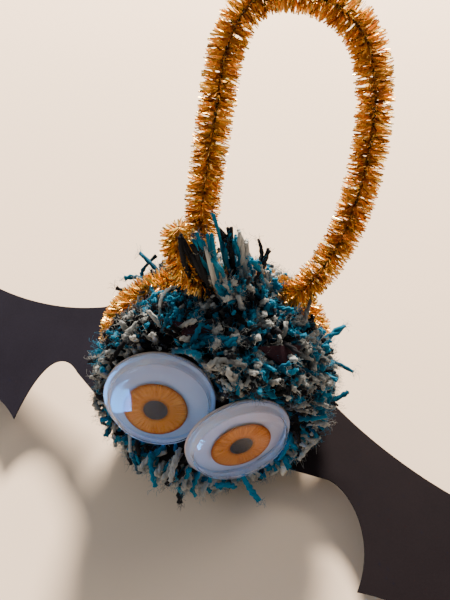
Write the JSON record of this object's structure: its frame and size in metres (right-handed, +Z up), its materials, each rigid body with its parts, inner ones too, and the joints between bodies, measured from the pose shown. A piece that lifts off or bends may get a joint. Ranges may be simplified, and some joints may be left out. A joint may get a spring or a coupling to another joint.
{
  "type": "yarn pom-pom bat",
  "caption": "Pom-pom bat of cut yarn with wiggle eyes, card ears and flapping card wings, tied with a tinsel chenille stem that stands up as a bendable hanging loop.",
  "frame": {"origin": "middle of the flat patch on which the yarn ball rests", "axes": "+Z up, +X to the right of someone who faces the eyes, -Y the way the eyes look"},
  "size_m": [0.1384, 0.095, 0.1071],
  "materials": {
    "yarn_mix": "matte",
    "yarn_teal": "matte",
    "yarn_black": "matte",
    "tinsel": "gloss",
    "core_wire": "satin",
    "eye_white": "gloss",
    "eye_clear": "polished",
    "iris_print": "satin",
    "card": "matte",
    "glue": "satin"
  },
  "bodies": {
    "body": {"yarn_front_half": "yarn_mix", "yarn_back_half": "yarn_mix", "yarn_topknot": "yarn_mix", "centre_tie": "yarn_black", "centre_tie_knot": "yarn_black", "tie_ring_wire": "core_wire", "tie_ring_tinsel": "tinsel", "stem_tail_wire": "core_wire", "stem_tail_tinsel": "tinsel", "ear_left": "card", "ear_right": "card", "wing_left_glue": "glue", "wing_right_glue": "glue", "eye_left_back": "eye_white", "eye_left_dome": "eye_clear", "eye_left_glue": "glue", "eye_right_back": "eye_white", "eye_right_dome": "eye_clear", "eye_right_glue": "glue", "strand_teal_left_upper": "yarn_teal", "strand_teal_left_lower": "yarn_teal", "strand_black_left": "yarn_black", "strand_teal_right_upper": "yarn_teal", "strand_teal_right_lower": "yarn_teal", "strand_black_bottom": "yarn_black", "strand_teal_bottom": "yarn_teal"},
    "iris_left": {"eye_left_iris": "iris_print"},
    "iris_right": {"eye_right_iris": "iris_print"},
    "wing_left_panel": {"wing_left": "card"},
    "wing_right_panel": {"wing_right": "card"},
    "hanger": {"hanger_wire": "core_wire", "hanger_tinsel": "tinsel"}
  },
  "joints": [
    {"name": "iris_left_orbit", "type": "hinge", "parent": "body", "child": "iris_left", "pos_m": [-0.0121, -0.0123, 0.0345], "axis": [-0.0501, -0.9424, 0.3308], "continuous": true},
    {"name": "iris_right_orbit", "type": "hinge", "parent": "body", "child": "iris_right", "pos_m": [0.0053, -0.0174, 0.0258], "axis": [0.3035, -0.9407, 0.1517], "continuous": true},
    {"name": "wing_left_flap", "type": "hinge", "parent": "body", "child": "wing_left_panel", "pos_m": [-0.02895, 0.0097, 0.02045], "axis": [-0.0988, 0.9879, 0.1192], "range_deg": [-30, 45], "stiffness_Nm_per_rad": 0.004},
    {"name": "wing_right_flap", "type": "hinge", "parent": "body", "child": "wing_right_panel", "pos_m": [0.0247, -0.0081, 0.00965], "axis": [-0.5729, -0.8196, 0], "range_deg": [-30, 45], "stiffness_Nm_per_rad": 0.004},
    {"name": "hanger_tilt", "type": "hinge", "parent": "body", "child": "hanger", "pos_m": [0.00675, 0.0085, 0.0485], "axis": [-0.9546, 0, 0.298], "range_deg": [-20, 45]}
  ]
}
